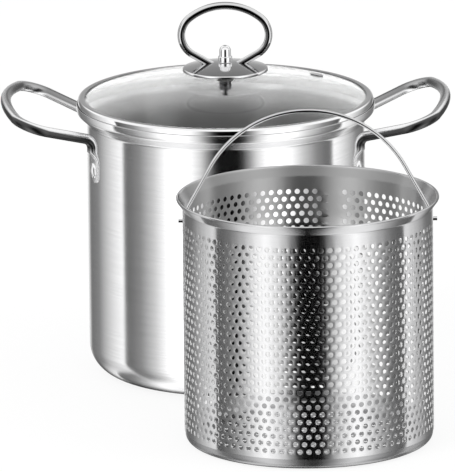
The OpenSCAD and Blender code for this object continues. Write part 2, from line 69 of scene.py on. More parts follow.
# %% Camera
camera_distance = 8
camera_height_angle = math.radians(14)
camera_roll = math.radians(-0.55)
aim = Vector((0.0005, 0, 0.1086))
camera_data = bpy.data.cameras.new("camera")
camera_data.sensor_fit = "HORIZONTAL"
camera_data.sensor_width = 36
camera_data.lens = 791.05
camera_data.clip_end = 60
camera = new_object("camera", camera_data)
toward_camera = Vector((0, -math.cos(camera_height_angle), math.sin(camera_height_angle)))
look = toward_camera.to_track_quat("Z", "Y").to_matrix().to_4x4()
stand = Matrix.Translation(aim + toward_camera * camera_distance)
camera.matrix_world = stand @ look @ Matrix.Rotation(camera_roll, 4, "Z")
bpy.context.scene.camera = camera
print("camera at", [round(v, 3) for v in camera.matrix_world.translation])

# %% [markdown]
# Materials and the world are trees of nodes. These helpers add a node, do a step of maths, fill a
# grey ramp, ease from one level to another and mix two greys. Each input takes a plain value or
# another node's output, so that the cells below read as what they make.

# %% Node helpers
def feed(tree, socket, value):
    """Gives an input a value, or links another node's output to it."""
    if isinstance(value, bpy.types.NodeSocket):
        tree.links.new(value, socket)
    else:
        socket.default_value = value


def add(tree, kind, **settings):
    """A node with its settings, and its inputs set by name where the name is an input."""
    node = tree.nodes.new(kind)
    for key, value in settings.items():
        if hasattr(node, key):
            setattr(node, key, value)
        else:
            feed(tree, node.inputs[key.replace("_", " ")], value)
    return node


def combine(tree, first, second, kind="MULTIPLY", clamp=True):
    """One step of maths on two values, held between 0 and 1 if it is clamped."""
    node = add(tree, "ShaderNodeMath", operation=kind, use_clamp=clamp)
    feed(tree, node.inputs[0], first)
    feed(tree, node.inputs[1], second)
    return node.outputs[0]


def combine_vectors(tree, kind, first, second=(0, 0, 0)):
    """One step of maths on two vectors."""
    node = add(tree, "ShaderNodeVectorMath", operation=kind)
    feed(tree, node.inputs[0], first)
    feed(tree, node.inputs[1], second)
    return node.outputs["Value" if kind == "DOT_PRODUCT" else "Vector"]


def ease_between(tree, source, low, high, out_low=0.0, out_high=1.0):
    """A smooth step of one value between two others."""
    node = add(tree, "ShaderNodeMapRange", interpolation_type="SMOOTHSTEP", Value=source,
               From_Min=low, From_Max=high, To_Min=out_low, To_Max=out_high)
    return node.outputs["Result"]


def grey(level, blue=0.0):
    return (level, level, level + blue, 1)


def blend(tree, factor, first, second):
    """A colour mix whose two colours are a grey or another node's output."""
    colours = [grey(value) if isinstance(value, (int, float)) else value for value in (first, second)]
    node = add(tree, "ShaderNodeMix", data_type="RGBA", Factor=factor, A=colours[0], B=colours[1])
    return node.outputs["Result"]


def grey_ramp(tree, source, stops):
    """A ramp of greys over a value, from (position, grey) pairs."""
    node = add(tree, "ShaderNodeValToRGB")
    ramp = node.color_ramp
    while len(ramp.elements) < len(stops):
        ramp.elements.new(0.5)
    for element, (position, level) in zip(ramp.elements, stops):
        element.position = position
        element.color = grey(level)
    tree.links.new(source, node.inputs[0])
    return node.outputs["Color"]


def ramp_both_ways(tree, source, stops):
    """A ramp of greys over a value from -1 to 1."""
    share = add(tree, "ShaderNodeMapRange", From_Min=-1, Value=source).outputs["Result"]
    return grey_ramp(tree, share, [((value + 1) / 2, level) for value, level in stops])


# %% [markdown]
# Steel shows what stands round it. A photographer puts a black flag beside the lens, a broad soft
# light on each side, a dark gap at right angles and a rim light behind. Those upright bands are
# drawn here in the world, for shiny rays only. Every other ray finds plain white. A direction is
# told by its turn from the flag, 0 to 180 degrees to either side, and by the sine of its height.

# %% Studio: world with upright bands of light
world = bpy.data.worlds.new("studio")
bpy.context.scene.world = world
world.use_nodes = True
wt = world.node_tree
wt.nodes.clear()
flag_turn = math.radians(2)
direction = add(wt, "ShaderNodeTexCoord")
parts = add(wt, "ShaderNodeSeparateXYZ", Vector=direction.outputs["Generated"])
height = parts.outputs["Z"]
forward = combine(wt, parts.outputs["Y"], -1, clamp=False)
turn = combine(wt, parts.outputs["X"], forward, "ARCTAN2", clamp=False)
from_flag = combine(wt, turn, flag_turn, "SUBTRACT", clamp=False)
either_side = combine(wt, from_flag, 0, "ABSOLUTE", clamp=False)
half_turns = combine(wt, either_side, math.pi, "DIVIDE", clamp=False)


def by_turn(stops):
    """A ramp over the turn from the flag, in degrees."""
    return grey_ramp(wt, half_turns, [(degrees / 180, level) for degrees, level in stops])


def past_turn(low, high):
    return ease_between(wt, half_turns, low / 180, high / 180)


def above(low, high):
    return ease_between(wt, height, low, high)


front = by_turn([
    (8, 0.0), (12, 0.05), (18, 0.36), (24, 0.85), (31, 1.25), (43, 1.7), (53, 1.35), (65, 0.74),
    (79, 0.3), (97, 0.08), (98.5, 1.25), (115, 0.82), (137, 0.26), (165, 0.15),
])
print("world nodes for the bands:", len(wt.nodes))

# %% [markdown]
# Faces that lean mirror the room above or below the bands: the pot's flare and neck look down, the
# dome and the knob's plate look up, and low ones see the far wall. Each of these parts of the room
# has its own levels, and wide eases join them, so that no edge shows in the steel.

# %% Room below, above and behind the bands
under_neck = by_turn([(15, 0.0), (23, 0.05), (35, 0.36), (46, 0.85), (60, 1.25), (90, 1.5)])
front_low = blend(wt, above(-0.9, -0.72), under_neck, front)
flare_back = ramp_both_ways(wt, height, [
    (-0.99, 0.4), (-0.955, 0.9), (-0.93, 1.1), (-0.892, 1.3), (-0.867, 1.35), (-0.85, 1.15), (-0.80, 0.62),
    (-0.728, 0.26), (-0.64, 0.12), (-0.61, 0.1), (-0.595, 1.0), (-0.50, 0.7), (-0.36, 0.3),
])
flare_back = blend(wt, past_turn(158, 169), flare_back, 0.01)
low = blend(wt, past_turn(92, 112), front_low, flare_back)

beside_flag = combine(wt, past_turn(18, 40), above(0.12, 0.45))
front_sky = blend(wt, beside_flag, front, 1.1)
front_sky = blend(wt, above(0.42, 0.64), front_sky, 1.05)
back_sky = ramp_both_ways(wt, height, [
    (-0.36, 0.12), (-0.29, 0.5), (-0.22, 1.05), (-0.14, 0.9), (-0.045, 0.68), (0.1, 0.5), (0.21, 0.38),
    (0.45, 0.28), (0.7, 0.2), (0.77, 0.25), (0.9, 1.05),
])
room = blend(wt, past_turn(156, 170), front_sky, back_sky)
room = blend(wt, above(-0.56, -0.38), low, room)
print("world nodes with the room:", len(wt.nodes))

# %% [markdown]
# The lid is clear, so a good part of its tone is light that the dome's underside or the pot's inside
# mirrors back through the glass. Such a ray has been mirrored at least once before it leaves the
# glass. It finds a bright back and a dark front here, and after a second mirror almost nothing.

# %% Light by the kind of ray
through_lid = ramp_both_ways(wt, height, [
    (0.05, 3.4), (0.3, 3.3), (0.35, 2.5), (0.4, 2.2), (0.44, 2.0), (0.49, 1.7), (0.53, 1.15), (0.575, 0.7),
    (0.62, 0.47), (0.66, 0.33), (0.8, 0.3),
])
through_lid = blend(wt, past_turn(100, 150), 0.4, through_lid)
ray = add(wt, "ShaderNodeLightPath")
through_glass = ray.outputs["Is Transmission Ray"]


def mirrored_before_glass(count):
    """One for a ray out of the glass that was mirrored at least count times before it."""
    often = combine(wt, ray.outputs["Glossy Depth"], count - 0.5, "GREATER_THAN")
    return combine(wt, often, through_glass)


only_mirrored = combine(wt, ray.outputs["Is Glossy Ray"], through_glass, "SUBTRACT")
shown = blend(wt, only_mirrored, 1.0, room)
shown = blend(wt, mirrored_before_glass(1), shown, through_lid)
shown = blend(wt, mirrored_before_glass(2), shown, 0.03)
background = add(wt, "ShaderNodeBackground", Strength=1.0, Color=shown)
add(wt, "ShaderNodeOutputWorld", Surface=background.outputs[0])
print("world nodes in all:", len(wt.nodes))

# %% [markdown]
# The floor is plain white paper. It takes a soft shadow, and most of the white that the camera sees
# is the paper's own, so that the shadow stays as faint as on a light table.

# %% Floor
own_white = 0.85
floor_drop = 0.0004


def new_material(name):
    """A material whose tree of nodes is empty."""
    material = bpy.data.materials.new(name)
    material.use_nodes = True
    material.node_tree.nodes.clear()
    return material, material.node_tree


white_paper, ft = new_material("white_paper")
paper = add(ft, "ShaderNodeBsdfDiffuse", Color=grey(0.92))
glow = add(ft, "ShaderNodeEmission", Color=grey(1), Strength=1.0)
seen = add(ft, "ShaderNodeLightPath").outputs["Is Camera Ray"]
mixed = add(ft, "ShaderNodeMixShader")
sources = (combine(ft, seen, own_white, clamp=False), paper.outputs[0], glow.outputs[0])
for socket, source in zip(mixed.inputs, sources):
    ft.links.new(source, socket)
add(ft, "ShaderNodeOutputMaterial", Surface=mixed.outputs[0])

bm = bmesh.new()
bmesh.ops.create_grid(bm, x_segments=1, y_segments=1, size=6)
bmesh.ops.translate(bm, verts=bm.verts, vec=(0, 0, -floor_drop))
floor_mesh = bpy.data.meshes.new("floor")
bm.to_mesh(floor_mesh)
bm.free()
floor_mesh.materials.append(white_paper)
floor = new_object("floor", floor_mesh)
floor.visible_glossy = False
floor.visible_transmission = False
print("floor:", floor.dimensions[:])

# %% [markdown]
# Two round lamps add a little light from both sides for the floor and the matt pieces. They aren't
# mirrored, because the bands in the world already stand for the studio's lights.

# %% Soft lamps
def soft_lamp(name, place, size, watts):
    """A round soft lamp that looks at the middle of the scene."""
    data = bpy.data.lights.new(name, "AREA")
    data.shape = "DISK"
    data.size = size
    data.energy = watts
    lamp = new_object(name, data)
    look_back = Vector(place).to_track_quat("Z", "Y").to_matrix().to_4x4()
    lamp.matrix_world = Matrix.Translation(place) @ look_back
    lamp.visible_glossy = False
    lamp.visible_camera = False


soft_lamp("key_lamp", (-1.6, -2.0, 2.6), 1.6, 30)
soft_lamp("fill_lamp", (2.2, -1.2, 1.8), 1.6, 14)
print("lamps placed")

# %% [markdown]
# Two effects are shared by the metals. Satin lines are the fine marks that a belt leaves round a
# wall: a noise that is long round the wall and thin along its height. Handling marks are the faint
# cloudy wipes of a cloth. Both are node groups that put out only heights and masks.

# %% Shader groups
def new_group(name, output, **numbers):
    """A node group with a vector and some numbers going in, and one number coming out."""
    group = bpy.data.node_groups.new(name, "ShaderNodeTree")
    group.interface.new_socket("Vector", in_out="INPUT", socket_type="NodeSocketVector")
    for label, value in numbers.items():
        socket = group.interface.new_socket(label, in_out="INPUT", socket_type="NodeSocketFloat")
        socket.default_value = value
    group.interface.new_socket(output, in_out="OUTPUT", socket_type="NodeSocketFloat")
    return group, add(group, "NodeGroupInput").outputs


satin_lines, given = new_group("satin_lines", "Lines", Along=20.0, Across=1400.0)
stretch = add(satin_lines, "ShaderNodeCombineXYZ", X=given["Along"], Y=given["Along"], Z=given["Across"])
scaled = combine_vectors(satin_lines, "MULTIPLY", given["Vector"], stretch.outputs[0])
fine = add(satin_lines, "ShaderNodeTexNoise", Scale=1.0, Detail=3.0, Roughness=0.7, Vector=scaled)
add(satin_lines, "NodeGroupOutput", Lines=fine.outputs["Fac"])

handling_marks, given = new_group("handling_marks", "Marks", Size=14.0)
cloud = add(handling_marks, "ShaderNodeTexNoise", Detail=5.0, Roughness=0.62, Distortion=0.4,
            Vector=given["Vector"], Scale=given["Size"])
soften = add(handling_marks, "ShaderNodeMapRange", From_Min=0.35, From_Max=0.7, Value=cloud.outputs["Fac"])
add(handling_marks, "NodeGroupOutput", Marks=soften.outputs["Result"])
print("groups:", [g.name for g in bpy.data.node_groups])

# %% [markdown]
# A face can be told from its neighbours by where it looks. One helper measures how far a surface
# looks away from a middle point, 1 for straight away and -1 for straight back. The axes that count
# are given as factors, so (1, 1, 0) measures round an upright axis.

# %% Which way a surface looks
def looks_away(tree, coords, middle, factors, unit):
    """The surface's direction along the way out from middle, as a share if unit is asked for."""
    outward = combine_vectors(tree, "SUBTRACT", coords.outputs["Object"], middle)
    outward = combine_vectors(tree, "MULTIPLY", outward, factors)
    if unit:
        outward = combine_vectors(tree, "NORMALIZE", outward)
    return combine_vectors(tree, "DOT_PRODUCT", outward, coords.outputs["Normal"])


def level_of(tree, coords):
    """The height of a point above the floor, in metres."""
    return add(tree, "ShaderNodeSeparateXYZ", Vector=coords.outputs["Object"]).outputs["Z"]


def inner_side(tree, coords, inside, colour, rough):
    """Paints shade on a vessel's inner side with its own darker grey and gloss. The low part has other
    ones, and above the rim's level half of the outer look comes back."""
    level = level_of(tree, coords)
    away = looks_away(tree, coords, (*inside["axis"], 0), (1, 1, 0), unit=False)
    outer = ease_between(tree, away, -0.006, 0.002)
    rim_part = ease_between(tree, level, inside["rim"] - 0.0005, inside["rim"] + 0.0015, 0.0, 0.5)
    outer = combine(tree, outer, rim_part, "MAXIMUM")
    inner = blend(tree, ease_between(tree, level, 0.125, 0.15), inside["low_grey"], inside["grey"])
    gloss = ease_between(tree, level, 0.14, 0.16, inside["low_gloss"], inside["gloss"])
    dull = add(tree, "ShaderNodeMix", data_type="FLOAT", Factor=outer, A=gloss, B=rough)
    return blend(tree, outer, inner, colour), dull.outputs["Result"]


def painted_reflection_bands(tree, coords, bands, colour):
    """Paints a dark reflection on a wire by the way that its surface looks away from a middle."""
    away = looks_away(tree, coords, bands["middle"], bands["factors"], unit=True)
    shade = ramp_both_ways(tree, away, bands["stops"])
    started = ease_between(tree, level_of(tree, coords), *bands["starts"])
    with_painted_reflection = add(tree, "ShaderNodeMix", data_type="RGBA", blend_type="MULTIPLY", Factor=started,
                 A=colour, B=shade)
    return with_painted_reflection.outputs["Result"]


print("helpers for the sides of a surface ready")

# %% [markdown]
# Brushed steel stretches each reflection up and down its wall and keeps it sharp across, so its
# gloss is anisotropic, with the long way upright. Polished steel is a clear mirror with faint wipes.
# All steels share one recipe: a grey and a gloss that vary with the marks, over a shallow relief.

# %% A recipe for steel
def marked_nodes(tree, mark_size):
    """The object's coordinates and the handling marks on it."""
    coords = add(tree, "ShaderNodeTexCoord")
    marks = add(tree, "ShaderNodeGroup", node_tree=handling_marks, Size=mark_size,
                Vector=coords.outputs["Object"])
    return coords, marks.outputs["Marks"]


def steel(name, greys, gloss, line_height, mark_size=14.0, along=20.0, across=1400.0, blue=0.005,
          upright=False, inside=None, bands=None):
    """Steel with a grey between its darkest and lightest lines, and a gloss from its marks."""
    material, tree = new_material(name)
    coords, marks = marked_nodes(tree, mark_size)
    lines = add(tree, "ShaderNodeGroup", node_tree=satin_lines, Along=along, Across=across,
                Vector=coords.outputs["Object"]).outputs["Lines"]
    dark, light = (grey(level, blue) for level in greys)
    tone = add(tree, "ShaderNodeMix", data_type="RGBA", A=dark, B=light, Factor=lines)
    colour = tone.outputs["Result"]
    dulling = add(tree, "ShaderNodeMapRange", To_Min=gloss[0], To_Max=gloss[1], Value=marks)
    rough = dulling.outputs["Result"]
    # painted shade on a vessel's inner side
    if inside:
        colour, rough = inner_side(tree, coords, inside, colour, rough)
    # painted reflection on a wire
    if bands:
        colour = painted_reflection_bands(tree, coords, bands, colour)
    relief = add(tree, "ShaderNodeBump", Strength=1.0, Distance=line_height, Height=lines)
    shader = add(tree, "ShaderNodeBsdfPrincipled", Metallic=1.0, Base_Color=colour, Roughness=rough,
                 Normal=relief.outputs["Normal"])
    if upright:
        shader.inputs["Anisotropic"].default_value = 1.0
        shader.inputs["Anisotropic Rotation"].default_value = 0.25
        round_axis = add(tree, "ShaderNodeTangent", direction_type="RADIAL", axis="Z")
        tree.links.new(round_axis.outputs["Tangent"], shader.inputs["Tangent"])
    add(tree, "ShaderNodeOutputMaterial", Surface=shader.outputs[0])
    return material


print("steel recipe ready")

# %% [markdown]
# The pot and the basket are satin outside. Inside they mirror themselves over and over, which makes
# them darker and duller than one mirror of the studio, so their inner sides have their own greys,
# which are painted shade.

# %% Sheet metals
satin_steel = steel(
    "satin_steel", (0.74, 0.92), (0.16, 0.19), 0.0000012, across=700.0, upright=True,
    inside={"axis": (0, 0), "grey": 0.5, "low_grey": 0.5, "gloss": 0.35, "low_gloss": 0.35, "rim": 0.23},
)
basket_steel = steel(
    "basket_steel", (0.56, 0.63), (0.15, 0.18), 0.0000012, 22.0, upright=True,
    inside={"axis": basket_place.xy, "grey": 0.42, "low_grey": 0.6, "gloss": 0.42,
            "low_gloss": 0.15, "rim": 0.1928},
)
pan_steel = steel("pan_steel", (0.38, 0.46), (0.24, 0.32), 0.000003, 18.0)
spun_steel = steel("spun_steel", (0.76, 0.84), (0.1, 0.14), 0.0000004, 40.0)
mirror_steel = steel("mirror_steel", (0.86, 0.90), (0.06, 0.11), 0.0000002, 30.0, 90.0, 90.0)
trim_steel = steel("plain_steel_trim", (0.60, 0.70), (0.22, 0.32), 0.000002, 60.0, blue=0.01)
print("sheet metals:", [m.name for m in bpy.data.materials])

# %% [markdown]
# A polished wire mirrors a long dark strip of its surroundings along one side of each bend. That
# strip is a painted reflection: it stays with the wire's outer lower side on the handles and with its
# inner side on the knob's loop, drawn by the direction of the surface, and leaves out the handles' flattened
# ends.

# %% Wire metals
grip_steel = steel(
    "grip_steel", (0.88, 0.93), (0.26, 0.31), 0.0000002, 30.0, 90.0, 90.0,
    bands={"middle": (0, 0, 0.25), "factors": (0.2, 1, 1), "starts": (0.1855, 0.194), "stops": [
        (-1.0, 0.5), (-0.93, 0.42), (-0.84, 0.3), (-0.7, 0.22), (-0.6, 0.6), (-0.5, 0.95), (0.0, 1.0),
        (0.2, 0.85), (0.36, 0.1), (0.9, 0.05), (1.0, 0.12),
    ]},
)
loop_steel = steel(
    "loop_steel", (0.86, 0.90), (0.08, 0.13), 0.0000002, 30.0, 90.0, 90.0,
    bands={"middle": (0, 0, 0.283), "factors": (1, 0, 1), "starts": (0, 0.01), "stops": [
        (-1.0, 0.85), (-0.7, 0.7), (-0.56, 0.15), (-0.2, 0.05), (0.22, 0.07), (0.34, 0.7), (0.7, 0.8),
        (0.9, 0.5), (1.0, 0.8),
    ]},
)
# The bail's steel is a darker copy of the polished wire steel, which paints shade on the thin wire.
bail_steel = steel("bail_steel", (0.60, 0.70), (0.14, 0.19), 0.0000002, 30.0, 90.0, 90.0)
print("wire metals:", grip_steel.name, loop_steel.name, bail_steel.name)

# %% [markdown]
# The lid is clear tempered glass, wiped a little dull in places. The gaskets are soft grey silicone.
# Both start from the same cloudy marks, which set the glass's gloss and the silicone's tint.

# %% Glass and silicone
tempered_glass, tree = new_material("tempered_glass")
coords, marks = marked_nodes(tree, 20.0)
wiped = add(tree, "ShaderNodeMapRange", To_Max=0.02, Value=marks)
clear = add(tree, "ShaderNodeBsdfPrincipled", IOR=1.7, Base_Color=(0.95, 0.955, 0.955, 1),
            Transmission_Weight=1.0, Roughness=wiped.outputs["Result"])
add(tree, "ShaderNodeOutputMaterial", Surface=clear.outputs[0])

silicone, tree = new_material("grey_silicone")
coords, marks = marked_nodes(tree, 400.0)
tint = add(tree, "ShaderNodeMix", data_type="RGBA", A=(0.50, 0.50, 0.49, 1), B=(0.62, 0.62, 0.60, 1),
           Factor=marks)
soft = add(tree, "ShaderNodeBsdfPrincipled", Roughness=0.55, Base_Color=tint.outputs["Result"])
add(tree, "ShaderNodeOutputMaterial", Surface=soft.outputs[0])
print("clear materials ready")

# %% [markdown]
# Every piece below ends the same way: its normals are made to point outwards, its mesh becomes an
# object at the origin, it takes a material, it rides on its CAD body and its CAD node is hidden.

# %% Finishing a piece
def baked(carrier):
    """A new mesh of an object as its modifiers show it."""
    bpy.context.view_layer.update()
    return bpy.data.meshes.new_from_object(carrier.evaluated_get(bpy.context.evaluated_depsgraph_get()))


def finish_piece(name, bm, material, node, body="root", wall=0.0, edge=0.0, sharp=35):
    """Turns a bmesh in millimetres into a finished piece. wall thickens a sheet inwards."""
    bmesh.ops.remove_doubles(bm, verts=bm.verts, dist=0.0008)
    bmesh.ops.recalc_face_normals(bm, faces=bm.faces)
    bmesh.ops.scale(bm, vec=(MM, MM, MM), verts=bm.verts)
    mesh = bpy.data.meshes.new(name)
    bm.to_mesh(mesh)
    bm.free()
    piece = new_object(name, mesh)
    if wall:
        thick = piece.modifiers.new("sheet", "SOLIDIFY")
        thick.thickness = wall * MM
        thick.offset = -1
    if edge:
        ease = piece.modifiers.new("eased_edges", "BEVEL")
        ease.width = edge * MM
        ease.segments = 2
        ease.limit_method = "ANGLE"
        ease.angle_limit = math.radians(50)
        ease.use_clamp_overlap = True
    if wall or edge:
        final = baked(piece)
        piece.modifiers.clear()
        piece.data = final
        bpy.data.meshes.remove(mesh)
        final.name = name
    piece.data.shade_smooth()
    piece.data.set_sharp_from_angle(angle=math.radians(sharp))
    piece.data.materials.clear()
    piece.data.materials.append(material)
    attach(piece, body)
    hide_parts(node)
    print(name, "faces:", len(piece.data.polygons))
    return piece


# %% [markdown]
# The pot, the band, the glass and the knob's plate are all turned shapes: a section is drawn and
# spun round the upright axis. A section is drawn as a bender makes it, in runs. Each run goes
# straight for a length and then turns with a radius, left or right.

# %% Drawing a section and spinning it
def verts_in(geom):
    return [part for part in geom if isinstance(part, bmesh.types.BMVert)]


def edges_in(geom):
    return [part for part in geom if isinstance(part, bmesh.types.BMEdge)]


def swing(bm, geom, centre, axle, degrees, steps):
    """Spins geometry part of the way round an axle, and gives what the last step made."""
    made = bmesh.ops.spin(bm, geom=geom, cent=centre, axis=axle, dvec=(0, 0, 0), angle=math.radians(degrees),
                          steps=steps, use_merge=False, use_normal_flip=False, use_duplicate=False)
    return made["geom_last"]


def draw_section(bm, start, heading, runs):
    """Extrudes one vertex along runs of (straight length, bend radius, bend angle, steps), in the
    XZ plane."""
    tip = bmesh.ops.create_vert(bm, co=(start[0], 0, start[1]))["vert"][0]
    angle = heading
    for straight, radius, bend, steps in runs:
        cos_now, sin_now = math.cos(math.radians(angle)), math.sin(math.radians(angle))
        if straight:
            tip = bmesh.ops.extrude_vert_indiv(bm, verts=[tip])["verts"][0]
            bmesh.ops.translate(bm, verts=[tip], vec=Vector((cos_now, 0, sin_now)) * straight)
        if bend:
            side = 1 if bend > 0 else -1
            centre = tip.co + Vector((-sin_now, 0, cos_now)) * side * radius
            tip = verts_in(swing(bm, [tip], centre, (0, -side, 0), abs(bend), steps))[0]
            angle += bend
    return tip


def spin_section(bm, steps):
    """Spins a whole section once round the upright axis, and closes it."""
    bmesh.ops.spin(bm, geom=bm.verts[:] + bm.edges[:], cent=(0, 0, 0), axis=(0, 0, 1), dvec=(0, 0, 0),
                   angle=2 * math.pi, steps=steps, use_merge=True, use_normal_flip=False, use_duplicate=False)


# %% [markdown]
# The pot is one drawn sheet. Its section goes out along the flat bottom, up round the corner and
# the wall, out along the flare and up into the collar that holds the lid.

# %% Pot body
flat_bottom, corner_radius, wall_height = 86.8, 24, 179.875
neck_radius, neck_angle, flare_length, collar_height = 4, 47, 7.734, 3.9
bm = bmesh.new()
lip = draw_section(bm, (0, 0), 0, [
    (flat_bottom, corner_radius, 90, 18), (wall_height, neck_radius, -neck_angle, 8),
    (flare_length, neck_radius, neck_angle, 8), (collar_height, 0, 0, 0),
])
print("pot lip at", [round(v, 2) for v in lip.co])
spin_section(bm, 288)
finish_piece("pot_shell", bm, satin_steel, "pot_body", wall=0.8, edge=0.3)

# %% [markdown]
# The band is a strip that is rolled over the glass's edge. Its section starts on top of the glass,
# turns down outside it, steps in below it and ends as the skirt that stands in the pot's flare.

# %% Lid band and skirt
band_start = (112.3, 224)
bm = bmesh.new()
foot = draw_section(bm, band_start, 0, [
    (3.1, 2.5, -90, 10), (3.186, 1, -90, 5), (2.9, 0.4, 90, 3), (7.5, 0, 0, 0),
])
print("skirt foot at", [round(v, 2) for v in foot.co])
spin_section(bm, 288)
finish_piece("lid_rim_band", bm, mirror_steel, "lid_band", wall=0.5, edge=0.12)

# %% [markdown]
# The glass is part of a large sphere, from the screw's hole to just inside the band. A point on a
# sphere is found from its distance to the upright axis, and the plate uses the same two helpers.

# %% Lid glass
def on_sphere(radius, sphere, centre):
    """The section's point on a sphere, at a distance from the upright axis."""
    return radius, centre + math.sqrt(sphere ** 2 - radius ** 2)


def lean_at(radius, sphere):
    """How far the sphere leans there, in degrees."""
    return math.degrees(math.asin(radius / sphere))


glass_sphere, glass_top = 402.103, 239.45
glass_hole, glass_radius = 4, 116
dome_centre = glass_top - glass_sphere
first = lean_at(glass_hole, glass_sphere)
last = lean_at(glass_radius, glass_sphere)
bm = bmesh.new()
draw_section(bm, on_sphere(glass_hole, glass_sphere, dome_centre), -first, [
    (0, glass_sphere, first - last, 30),
])
spin_section(bm, 192)
glass = finish_piece("lid_glass_dome", bm, tempered_glass, "lid_glass", wall=4.0, edge=0.5)

# %% [markdown]
# The steam vent goes through the glass. Its hole is cut with a cylinder that stands upright on the
# dome, and the eyelet is spun from its own little section and placed with the same matrix.

# %% Steam vent
vent_turn, vent_lean = math.radians(30.5), math.radians(12.2037)
vent_radius, drill_length = 2.9, 12
centre_of_dome = Matrix.Translation((0, 0, dome_centre))
leaning = Matrix.Rotation(vent_turn, 4, "Z") @ centre_of_dome @ Matrix.Rotation(vent_lean, 4, "Y")
vent_place = leaning @ Matrix.Translation((0, 0, glass_sphere))
bm = bmesh.new()
bmesh.ops.create_cone(bm, cap_ends=True, segments=48, radius1=vent_radius * MM, radius2=vent_radius * MM,
                      depth=drill_length * MM)
drill_mesh = bpy.data.meshes.new("vent_drill")
bm.to_mesh(drill_mesh)
bm.free()
drill = new_object("vent_drill", drill_mesh)
drill.matrix_world = Matrix.Scale(MM, 4) @ vent_place @ Matrix.Scale(1 / MM, 4)
cut = glass.modifiers.new("vent_hole", "BOOLEAN")
cut.operation = "DIFFERENCE"
cut.solver = "EXACT"
cut.object = drill
drilled = baked(glass)
glass.modifiers.clear()
glass.data = drilled
bpy.data.objects.remove(drill)
print("glass after the vent hole:", len(drilled.polygons))

eyelet_start = (1.6, -4.7)
bm = bmesh.new()
draw_section(bm, eyelet_start, 90, [
    (4.95, 0.4, -90, 4), (3.0, 0.35, -180, 8), (1.9, 0, 0, 0),
])
spin_section(bm, 48)
bmesh.ops.transform(bm, matrix=vent_place, verts=bm.verts)
finish_piece("vent_ring", bm, trim_steel, "vent_eyelet")

# %% [markdown]
# The knob's plate is a pressed dome with a turned-down edge, and the nut on it is a tall cap with a
# rounded top. Sections that end at the axis stop a little beside it, so that the spin stays clean.

# %% Knob plate and cap nut
plate_sphere, plate_top = 130.694, 251.55
plate_hole, plate_radius, turned_edge = 2.6, 33.2, 1.4
plate_centre = plate_top - plate_sphere
hole_lean = lean_at(plate_hole, plate_sphere)
edge_lean = lean_at(plate_radius, plate_sphere)
bm = bmesh.new()
draw_section(bm, on_sphere(plate_hole, plate_sphere, plate_centre), -hole_lean, [
    (0, plate_sphere, hole_lean - edge_lean, 20), (0, 1.0, edge_lean - 90, 8), (turned_edge, 0, 0, 0),
])
spin_section(bm, 128)
plate = finish_piece("knob_saucer", bm, spun_steel, "knob_plate", wall=0.8, edge=0.2)

beside_axis = 0.02
nut_foot = 251.6
bm = bmesh.new()
draw_section(bm, (beside_axis, nut_foot), 0, [
    (5.2, 0.35, 90, 4), (3.9, 0.45, 90, 4), (0.2, 0.3, -90, 4), (4.1, 4.6, 90, 14),
])
spin_section(bm, 64)
print("nut top at", round(max(v.co.z for v in bm.verts), 2))
nut = finish_piece("tall_cap_nut", bm, mirror_steel, "cap_nut")

# %% [markdown]
# The handles, the knob's loop and the bail are bent from round wire. The bender below does what a
# wire shop does: it pushes a length forward, then turns the wire round a former, in runs again.

# %% Bending a wire
def ring_edges(ring):
    """The edges between the vertices of a ring."""
    return [e for e in {e for v in ring for e in v.link_edges} if all(v in ring for v in e.verts)]


def bend_wire(bm, radius, start, runs, sides, steps_per_turn):
    """Extrudes a circle along runs of (straight length, bend radius, bend angle, side of the bend)."""
    place = start.copy()
    ring = bmesh.ops.create_circle(bm, cap_ends=False, segments=sides, radius=radius, matrix=place)["verts"]
    first_ring = ring[:]
    for straight, former, bend, side in runs:
        if straight:
            ring = verts_in(bmesh.ops.extrude_edge_only(bm, edges=ring_edges(ring))["geom"])
            bmesh.ops.translate(bm, verts=ring, vec=place.to_3x3() @ Vector((0, 0, straight)))
            place = place @ Matrix.Translation((0, 0, straight))
        if bend:
            rolled = (place @ Matrix.Rotation(math.radians(side), 4, "Z")).to_3x3()
            axle = rolled @ Vector((0, 1, 0))
            centre = place.translation + rolled @ Vector((1, 0, 0)) * former
            steps = max(3, math.ceil(steps_per_turn * bend / 360))
            ring = verts_in(swing(bm, ring + ring_edges(ring), centre, axle, bend, steps))
            turned = Matrix.Rotation(math.radians(bend), 4, axle)
            place = Matrix.Translation(centre) @ turned @ Matrix.Translation(-centre) @ place
    return first_ring, ring, place


def close_ends(bm):
    bmesh.ops.holes_fill(bm, edges=[e for e in bm.edges if e.is_boundary], sides=0)


# %% [markdown]
# Each end of a side handle is hammered flat where the rivet goes through. The round wire widens
# over a short taper, so its end ring is pulled down the wall and squeezed step by step.

# %% Flattening an end
grip_radius = 4.1
pad_top, pad_back = 189.75, 110.85
pad_half_width, pad_half_depth, pad_squareness = 7.0, 1.5, 0.78
taper, pad_straight, pad_round = 9.2, 19.5, 6.25


def pad_stations():
    """Rings down a flattened end, as (drop, half width, half depth, how round its outline is)."""
    stations = []
    for step in range(1, 11):
        t = step / 10
        wide = t * t * (3 - 2 * t)
        half_width = grip_radius + (pad_half_width - grip_radius) * wide
        half_depth = grip_radius - (grip_radius - pad_half_depth) * t * (2 - t)
        stations.append((taper * t, half_width, half_depth, 1 - (1 - pad_squareness) * t))
    stations.append((pad_straight, pad_half_width, pad_half_depth, pad_squareness))
    for step in range(1, 8):
        a = math.radians(90 * step / 7.4)
        drop = pad_straight + pad_round * math.sin(a)
        stations.append((drop, pad_half_width * math.cos(a), pad_half_depth, pad_squareness))
    return stations


def next_ring(bm, ring):
    """Extrudes a ring and gives the new vertices in the ring's own order."""
    grown = bmesh.ops.extrude_edge_only(bm, edges=ring_edges(ring))["geom"]
    above = {}
    for v in verts_in(grown):
        above[next(w for w in ring if any(e.other_vert(v) is w for e in v.link_edges))] = v
    return [above[v] for v in ring]


